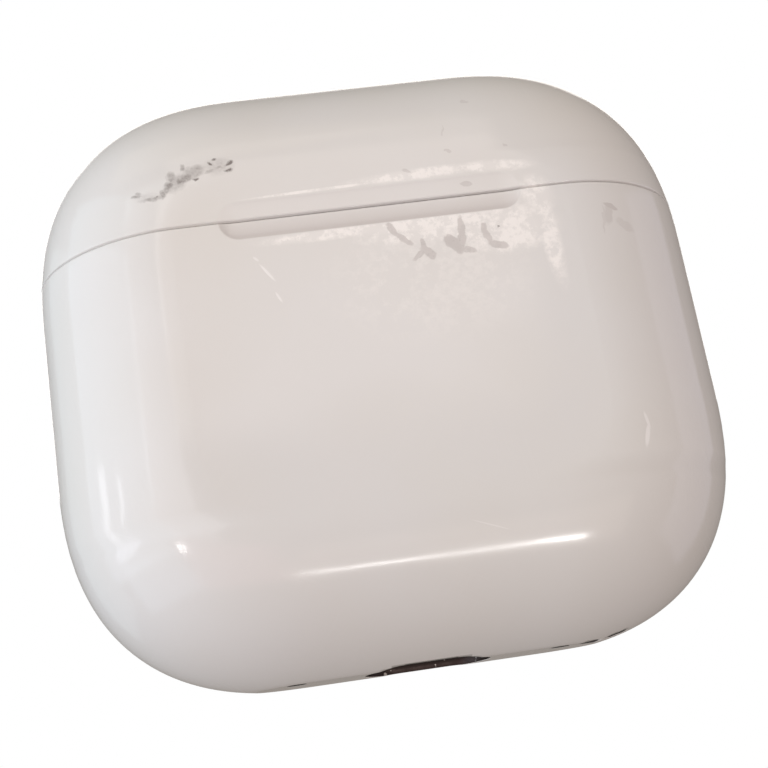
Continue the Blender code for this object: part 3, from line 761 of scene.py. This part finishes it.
def white_gloss(name):
    """Polished white plastic with hairlines and finger film, and on its front the marks of wear, with
    painted shade and a painted lighter tone in the thumb notch and painted highlights and a painted
    reflection round it.
    """
    look = Look(name)
    warm = tuple(c * k for c, k in zip(WHITE, (0.975, 0.965, 0.94)))
    colour = look.mix(look.remap(look.noise(60.0, 2.0), 0.35, 0.7), WHITE, warm)
    film = look.remap(look.noise(120.0, 4.0), 0.42, 0.68)
    lines = look.math("MAXIMUM", look.hairlines(28, 3), look.hairlines(-52, 11))
    lines = look.math("MAXIMUM", lines, look.hairlines(83, 23, 0.64))
    colour = look.mix(look.math("MULTIPLY", lines, 0.07), colour, HAIRLINE)
    roughness = look.math("MULTIPLY_ADD", film, 0.05, 0.10)
    roughness = look.math("MULTIPLY_ADD", lines, 0.12, roughness)
    height = look.math("MULTIPLY", lines, -0.12)

    # Dirt and smudges have ragged outlines, and the dirt is grainy.
    wander = look.noise(1600.0, 3.0).node.outputs["Color"]
    shift = look.vector("MULTIPLY_ADD", wander, (0.55 * MM,) * 3, (-0.275 * MM,) * 3)
    moved = look.vector("ADD", look.place, shift)
    grain = look.remap(look.noise(3800.0, 3.0), 0.3, 0.7, 0.55, 1.25)
    dirt = look.math("MULTIPLY", marks(look, DIRT, moved, 1.6), grain, clamp=True)
    smudge = marks(look, SMUDGES, moved, 4.0)
    scratch = marks(look, SCRATCHES, look.place, 2.5)
    rub_and_highlight = rubbed_and_highlights(look)
    # Lighter where rubbed, with painted highlights and a painted reflection round the notch.
    colour = look.mix(rub_and_highlight, colour, RUBBED_HIGHLIGHT_WHITE)

    # The notch has painted shade below the seam, darker towards its lower edge, and a painted lighter
    # tone above it. The seam is dark on the right.
    inside, up = notch_inside(look)
    inside = look.remap(inside, 0.0, 0.1 * MM)
    notch_shade = look.math("MULTIPLY", inside, look.remap(up, -0.1 * MM, -1.4 * MM, 0.15, 0.78))
    colour = look.mix(notch_shade, colour, NOTCH_PAINTED_SHADE)
    notch_light = look.math("MULTIPLY", inside, look.remap(up, 0.0, 0.1 * MM, 0.0, 0.2))
    colour = look.mix(notch_light, colour, NOTCH_PAINTED_LIGHT)
    near = look.remap(look.math("ABSOLUTE", up), 0.05 * MM, 0.1 * MM, 1.0, 0.0)
    right = look.remap(look.add("SeparateXYZ", {"Vector": look.place}), -10 * MM, 6 * MM, 0.0, 0.14)
    colour = look.mix(look.math("MULTIPLY", near, right), colour, SEAM_GRIME)

    colour = look.mix(look.math("MULTIPLY", smudge, 0.62), colour, SMUDGE_GREY)
    colour = look.mix(look.math("MULTIPLY", dirt, 0.85), colour, DIRT_BROWN)
    colour = look.mix(look.math("MULTIPLY", scratch, 0.8, clamp=True), colour, SCRATCHED_WHITE)
    roughness = look.math("MULTIPLY_ADD", dirt, 0.4, roughness)
    roughness = look.math("MULTIPLY_ADD", smudge, 0.12, roughness)
    roughness = look.math("MULTIPLY_ADD", rub_and_highlight, 0.08, roughness)
    height = look.math("MULTIPLY_ADD", dirt, 0.6, height)
    height = look.math("MULTIPLY_ADD", scratch, -0.5, height)
    normal = look.bump(height, 0.01 * MM, 0.6)
    look.set(Base_Color=colour, Roughness=roughness, Normal=normal, IOR=1.5)
    return look.material


def notch_inside(look):
    """How far a place is inside the thumb notch's outline, in metres, and its height over the seam."""
    apart = look.add("SeparateXYZ", {"Vector": look.place}).node.outputs
    up = look.math("SUBTRACT", apart["Z"], SEAM_Z)
    past = look.math("SUBTRACT", look.math("ABSOLUTE", apart["X"]), NOTCH_HALF - NOTCH_RADIUS)
    past = look.math("MAXIMUM", past, 0.0)
    across = look.add("CombineXYZ", {"X": past, "Z": up})
    return look.math("SUBTRACT", NOTCH_RADIUS, look.length(across)), up


def rubbed_and_highlights(look):
    """0 to 1 over the patches above and below the thumb notch, partly gloss that fingers have rubbed and
    partly painted highlights and a painted reflection.
    """
    crackle = look.remap(look.noise(620.0, 6.0, roughness=0.7), 0.43, 0.51)
    fine = look.remap(look.noise(2600.0, 3.0, roughness=0.6), 0.3, 0.62)
    found = 0.0
    for (x, z), (half_x, half_z), turn, strength in RUBBED_AND_HIGHLIGHTS:
        size = (half_x * MM, 8 * MM, half_z * MM)
        local = look.turned((0, math.radians(-turn), 0), size, (x * MM, -HALF_Y, z * MM))
        inside = look.remap(look.length(local), 0.35, 1.0, strength, 0.0, smooth=True)
        found = look.math("MAXIMUM", inside, found)
    broken = look.math("MULTIPLY_ADD", look.math("MULTIPLY", crackle, fine), 1.1, 0.35)
    outside = look.remap(notch_inside(look)[0], 0.0, 0.08 * MM, 1.0, 0.0)
    return look.math("MULTIPLY", look.math("MULTIPLY", found, broken, clamp=True), outside)


def white_satin(name):
    """Moulded white plastic of the inner pieces: fine spark-eroded grain with a soft sheen."""
    look = Look(name)
    colour = look.mix(look.remap(look.noise(90.0, 2.0), 0.35, 0.7), WHITE, (0.77, 0.755, 0.735))
    dust = look.remap(look.noise(700.0, 5.0, roughness=0.7), 0.62, 0.75)
    colour = look.mix(look.math("MULTIPLY", dust, 0.12), colour, (0.42, 0.4, 0.38))
    grain = look.noise(9000.0, 2.0)
    roughness = look.math("MULTIPLY_ADD", look.noise(240.0, 3.0), 0.12, 0.27)
    look.set(Base_Color=colour, Roughness=roughness, Normal=look.bump(grain, 0.004 * MM, 0.5), IOR=1.5)
    return look.material


def metal(name, colour, roughness, brushed=None, spots=0.0, level=1.0):
    """Plated or bare metal: brushed along one axis if it is given, with tarnish in soft patches, and
    light specks that are partly nicks and partly painted glints.
    """
    look = Look(name)
    tarnish = look.remap(look.noise(500.0, 4.0, roughness=0.6), 0.45, 0.7)
    finish = look.mix(look.math("MULTIPLY", tarnish, 0.6), colour, tuple(c * 0.75 for c in colour))
    if brushed:
        stretch = {"X": (8 * MM, 0.05 * MM, 0.05 * MM), "Z": (0.05 * MM, 0.05 * MM, 8 * MM)}[brushed]
        strokes = look.noise(1.0, 3.0, look.turned((0, 0, 0), stretch))
    else:
        strokes = look.noise(6000.0, 3.0)
    finish = look.mix(look.remap(strokes, 0.35, 0.7, 0.0, 0.25), finish, tuple(c * 0.7 for c in colour))
    rough = look.math("MULTIPLY_ADD", strokes, 0.18, roughness - 0.06)
    rough = look.math("MULTIPLY_ADD", tarnish, 0.1, rough)
    # Light specks: partly worn nicks, partly painted glints.
    if spots:
        nicks_and_glints = look.remap(look.noise(1500.0, 2.0), 0.66, 0.7)
        finish = look.mix(look.math("MULTIPLY", nicks_and_glints, spots), finish, (0.75, 0.7, 0.66))
    look.set(Base_Color=finish, Roughness=rough, Metallic=level)
    look.set(Normal=look.bump(strokes, 0.003 * MM, 0.5))
    return look.material


def plastic(name, colour, roughness):
    """Plain moulded plastic or rubber with a fine grain and a slightly uneven tone."""
    look = Look(name)
    darker = tuple(c * 0.7 for c in colour)
    tone = look.mix(look.remap(look.noise(400.0, 3.0), 0.35, 0.7), colour, darker)
    fine = look.noise(7000.0, 2.0)
    rough = look.math("MULTIPLY_ADD", look.noise(600.0, 3.0), 0.15, roughness - 0.07)
    look.set(Base_Color=tone, Roughness=rough, Normal=look.bump(fine, 0.006 * MM, 0.6))
    return look.material


def dust_mesh(name):
    """Woven acoustic mesh, dark, with lint."""
    look = Look(name)
    squares = {"Vector": look.place, "Scale": 16000.0, "Color1": (1, 1, 1), "Color2": (0, 0, 0)}
    weave = look.add("TexChecker", squares)
    colour = look.mix(weave, (0.02, 0.018, 0.017), (0.07, 0.062, 0.058))
    lint = look.remap(look.noise(2500.0, 3.0), 0.6, 0.7)
    colour = look.mix(look.math("MULTIPLY", lint, 0.3), colour, (0.25, 0.22, 0.2))
    look.set(Base_Color=colour, Roughness=0.7, Normal=look.bump(weave, 0.02 * MM))
    return look.material


def circuit_board(name):
    """Green solder mask over copper tracks, with small pads."""
    look = Look(name)
    tracks = look.add("TexBrick", {
        "Vector": look.turned((math.pi / 2, 0, 0), (1, 1, 1)),
        "Scale": 520.0,
        "Mortar Size": 0.06,
        "Color1": (0.01, 0.07, 0.035),
        "Color2": (0.012, 0.085, 0.04),
        "Mortar": (0.05, 0.2, 0.1),
    })
    pads = look.remap(look.noise(1400.0, 1.0), 0.66, 0.68)
    colour = look.mix(pads, tracks, (0.75, 0.6, 0.3))
    height = look.math("ADD", pads, look.noise(5000.0, 2.0))
    look.set(Base_Color=colour, Roughness=look.remap(pads, 0, 1, 0.42, 0.25), Metallic=pads)
    look.set(Normal=look.bump(height, 0.01 * MM, 0.6))
    return look.material


def windings(name, centre):
    """Enamelled copper wire laid round and round: fine rings about the coil's centre."""
    look = Look(name)
    local = look.turned((math.pi / 2, 0, 0), (1, 1, 1), centre)
    sockets = {"Vector": local, "Scale": 380.0, "Distortion": 0.0}
    rings = look.add("TexWave", sockets, wave_type="RINGS", rings_direction="Z")
    colour = look.mix(rings, (0.25, 0.08, 0.03), (0.8, 0.4, 0.22))
    look.set(Base_Color=colour, Roughness=look.remap(rings, 0, 1, 0.5, 0.25), Metallic=0.9)
    look.set(Normal=look.bump(rings, 0.05 * MM))
    return look.material


def cell_foil(name):
    """Laminated pouch foil, slightly creased."""
    look = Look(name)
    creases = look.noise(900.0, 5.0, roughness=0.6)
    colour = look.mix(look.remap(creases, 0.3, 0.7), (0.5, 0.51, 0.53), (0.36, 0.37, 0.39))
    look.set(Base_Color=colour, Roughness=look.remap(creases, 0.3, 0.7, 0.28, 0.45), Metallic=0.85)
    look.set(Normal=look.bump(creases, 0.05 * MM, 0.7))
    return look.material


def light_guide(name):
    """Milky clear plastic that carries the status light."""
    look = Look(name)
    cloud = look.remap(look.noise(900.0, 3.0), 0.3, 0.7)
    look.set(Base_Color=look.mix(cloud, (0.85, 0.85, 0.84), (0.7, 0.7, 0.69)), IOR=1.49)
    look.set(Roughness=look.remap(cloud, 0, 1, 0.15, 0.3), Transmission_Weight=0.4)
    return look.material


def give(thing, finish):
    thing.data.materials.clear()
    thing.data.materials.append(finish)
    return thing


def dress(piece, finish, body, slot, *stood_for):
    """Finishes a new piece, sets it riding, and hides the CAD nodes it stands for."""
    give(piece, finish)
    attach(piece, body)
    if stood_for:
        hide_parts(*stood_for)
    return piece


def build_pieces():
    """Every new piece, with its finish and the body it rides on."""
    gloss = white_gloss("white_gloss")
    satin = white_satin("white_satin")
    hinge_steel = metal("hinge_steel", (0.66, 0.655, 0.65), 0.26, "X")
    # Nearly black steel for the port, its light specks partly painted glints.
    port_steel = metal("port_steel", (0.06, 0.045, 0.042), 0.38, spots=0.9, level=0.6)
    port_shader = port_steel.node_tree.nodes["Principled BSDF"]
    port_shader.inputs["Specular Tint"].default_value = (0.25, 0.2, 0.2, 1)
    dark = plastic("dark_plastic", (0.018, 0.017, 0.018), 0.42)
    gold = metal("gold_plate", (0.83, 0.6, 0.27), 0.24)
    dress(body_shell(), gloss, "case", "white_gloss", "body_shell")
    dress(lid_shell(), gloss, "lid", "white_gloss", "lid_shell")
    dress(bay_tray(), satin, "case", "white_satin", "bay_tray")
    dress(lid_liner(), satin, "lid", "white_satin", "lid_liner")
    for side, sign in SIDES:
        dress(stem_well(side, sign), satin, "case", "white_satin", f"stem_well_{side}")
    dress(hinge_bar(), hinge_steel, "case", "hinge_steel", "hinge_bracket")
    dress(port_shell(), port_steel, "case", "port_steel", "port_shell")
    tongue, pads = port_tongue()
    dress(tongue, dark, "case", "dark_plastic", "port_tongue")
    dress(pads, gold, "case", "gold_plate")
    # Dark mesh in the sound slots, partly dust mesh and partly painted shade of their depth.
    dress(slot_shade_meshes(), dust_mesh("slot_shade_mesh"), "case", "dark_plastic")

    screw_steel = metal("screw_steel", (0.6, 0.6, 0.61), 0.3)
    nickel = metal("nickel", (0.66, 0.64, 0.6), 0.26)
    coil_low, coil_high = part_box("charging_coil")
    finishes = {
        ("hinge_leaf", "hinge_pin", "hinge_washer_left", "hinge_washer_right"): hinge_steel,
        ("bracket_screw_left", "bracket_screw_right"): screw_steel,
        ("leaf_screw_left", "leaf_screw_right"): screw_steel,
        ("board_shield",): metal("shield_can", (0.62, 0.62, 0.63), 0.34, "Z"),
        ("speaker_mesh", "vent_membrane"): dust_mesh("woven_mesh"),
        ("speaker", "contact_block_left", "contact_block_right"): dark,
        ("port_gasket",): plastic("seal_rubber", (0.03, 0.03, 0.03), 0.75),
        ("main_board", "port_board"): circuit_board("circuit_board"),
        ("board_ribbon",): metal("copper_film", (0.62, 0.3, 0.14), 0.4, "X", level=0.7),
        ("status_light", "light_pipe"): light_guide("light_guide"),
        ("battery_left", "battery_right"): cell_foil("cell_foil"),
        ("charging_coil",): windings("copper_wire", (coil_low + coil_high) / 2),
        ("ferrite_sheet",): plastic("ferrite", (0.045, 0.043, 0.045), 0.6),
        ("catch_magnet_left", "catch_magnet_right", "lid_magnet_left", "lid_magnet_right"): nickel,
        ("bud_magnet_left", "bud_magnet_right"): nickel,
        ("contact_pin_left_front", "contact_pin_left_back"): gold,
        ("contact_pin_right_front", "contact_pin_right_back"): gold,
    }
    for names, finish in finishes.items():
        for name in names:
            give(frame["nodes"][name], finish)


# ---- Studio


def direction(azimuth, elevation):
    """Unit vector towards a place round the case: azimuth 0 is the front and 90 is +X, in degrees."""
    a, e = math.radians(azimuth), math.radians(elevation)
    return Vector((math.sin(a) * math.cos(e), -math.cos(a) * math.cos(e), math.sin(e)))


def softbox(name, azimuth, elevation, width, height, watts, colour):
    """Rectangular light one metre from the middle of the case, facing it."""
    light = bpy.data.lights.new(name, "AREA")
    light.shape = "RECTANGLE"
    light.size, light.size_y = width, height
    light.energy = watts
    light.color = colour
    made = linked(name, light)
    towards = direction(azimuth, elevation)
    made.location = Vector((0, 0, CENTRE_Z)) + towards
    made.rotation_euler = towards.to_track_quat("Z", "Y").to_euler()
    made.visible_camera = False


def world_light():
    """White for the camera, and a soft fill from all round for the case."""
    world = bpy.data.worlds.new("studio")
    bpy.context.scene.world = world
    world.use_nodes = True
    tree = world.node_tree
    tree.nodes.clear()
    ray = tree.nodes.new("ShaderNodeLightPath")
    seen = tree.nodes.new("ShaderNodeBackground")
    fill = tree.nodes.new("ShaderNodeBackground")
    seen.inputs["Color"].default_value = (1, 1, 1, 1)
    fill.inputs["Color"].default_value = (1.0, 0.89, 0.79, 1)
    fill.inputs["Strength"].default_value = 0.265
    choice = tree.nodes.new("ShaderNodeMixShader")
    out = tree.nodes.new("ShaderNodeOutputWorld")
    tree.links.new(ray.outputs["Is Camera Ray"], choice.inputs[0])
    tree.links.new(fill.outputs[0], choice.inputs[1])
    tree.links.new(seen.outputs[0], choice.inputs[2])
    tree.links.new(choice.outputs[0], out.inputs["Surface"])


def floor():
    """Pale floor that fades into the white, and clear from below, for a low camera."""
    half = 1.5
    corners = [(-half, -half, 0), (half, -half, 0), (half, half, 0), (-half, half, 0)]
    made = object_of("floor", corners, [(0, 1, 2, 3)], smooth=False)
    if made.data.polygons[0].normal.z < 0:
        made.data.flip_normals()
    look = Look("floor_paint")
    tone = look.mix(look.noise(30.0, 4.0), (0.80, 0.80, 0.795), (0.82, 0.82, 0.815))
    look.set(Base_Color=tone, Roughness=0.6, Specular_IOR_Level=0.2)
    look.set(Emission_Color=tone, Emission_Strength=0.45)
    far = look.remap(look.length(look.place), 0.07, 0.4, smooth=True)
    below = look.tree.nodes.new("ShaderNodeNewGeometry").outputs["Backfacing"]
    clear = look.tree.nodes.new("ShaderNodeBsdfTransparent")
    choice = look.tree.nodes.new("ShaderNodeMixShader")
    look.put(choice.inputs[0], look.math("MAXIMUM", far, below))
    look.tree.links.new(look.shader.outputs[0], choice.inputs[1])
    look.tree.links.new(clear.outputs[0], choice.inputs[2])
    look.tree.links.new(choice.outputs[0], look.tree.nodes["Material Output"].inputs["Surface"])
    give(made, look.material)
    made.visible_diffuse = made.visible_glossy = made.visible_transmission = made.visible_shadow = False


def camera():
    """Low and close in front of the case, looking up at it, with a slight roll."""
    lens = bpy.data.cameras.new("camera")
    lens.sensor_width = 36
    lens.lens = 63.55
    lens.shift_x, lens.shift_y = 0.0805, 0.0146
    lens.clip_start, lens.clip_end = 0.01, 10
    made = linked("camera", lens)
    place = Vector((-13.22, -99.30, -7.45)) * MM
    forward = Vector((0.0833, 0.957, 0.278)).normalized()
    up = Vector((0.1271, -0.2869, 0.9495))
    right = forward.cross(up).normalized()
    up = right.cross(forward)
    turn = Matrix((right, up, -forward)).transposed()
    made.matrix_world = Matrix.Translation(place) @ turn.to_4x4()
    bpy.context.scene.camera = made


# Softboxes one metre from the case: azimuth, elevation, width and height in metres, watts, colour.
SOFTBOXES = {
    "window": (-72, 4, 1.08, 0.95, 4.1, (0.73, 0.88, 1.0)),
    "window_high": (-75, 38, 0.9, 0.35, 0.68, (0.64, 0.91, 1.0)),
    "window_low": (-65, -30, 0.8, 0.42, 0.93, (0.68, 0.85, 1.0)),
    "window_back": (-116, 0, 0.6, 1.2, 0.92, (0.77, 0.97, 1.0)),
    "front_left": (-31, 4, 0.52, 0.6, 1.06, (0.97, 0.95, 1.0)),
    "front_left_high": (-30, 34, 0.5, 0.5, 0.74, (0.9, 0.96, 1.0)),
    "front_high": (-1, 29, 0.57, 0.52, 1.43, (1.0, 0.9, 0.82)),
    "front_higher": (0, 53, 0.56, 0.36, 0.45, (1.0, 0.9, 0.82)),
    "low_front": (22, -30, 0.7, 0.45, 0.67, (1.0, 0.85, 0.72)),
    "low_front_left": (-20, -28, 0.6, 0.5, 0.62, (1.0, 0.5, 0.55)),
    "right": (92, -5, 0.7, 1.2, 1.5, (0.83, 0.82, 1.0)),
    "ceiling": (-35, 68, 0.9, 0.4, 0.39, (1.0, 0.87, 0.57)),
    "back": (175, 30, 0.9, 0.6, 2.4, (1.0, 0.98, 0.96)),
    "lamp_strip_left": (9, -38, 0.21, 0.028, 0.32, (1.0, 0.99, 0.97)),
    "lamp_strip_right": (22.5, -37.2, 0.16, 0.034, 0.75, (1.0, 0.99, 0.97)),
    "lamp_spot": (-38, -17.2, 0.055, 0.055, 0.3, (1.0, 0.97, 0.96)),
    "pane_left": (-85, 3, 0.11, 0.32, 0.3, (0.92, 0.94, 1.0)),
    "pane_right": (-69.5, 3, 0.05, 0.22, 0.11, (0.9, 0.94, 1.0)),
    "pane_low": (-79, -11, 0.34, 0.13, 0.34, (0.82, 0.85, 1.0)),
}


build_pieces()
camera()
world_light()
for name, settings in SOFTBOXES.items():
    softbox(name, *settings)
floor()
bpy.context.scene.view_settings.view_transform = "Standard"
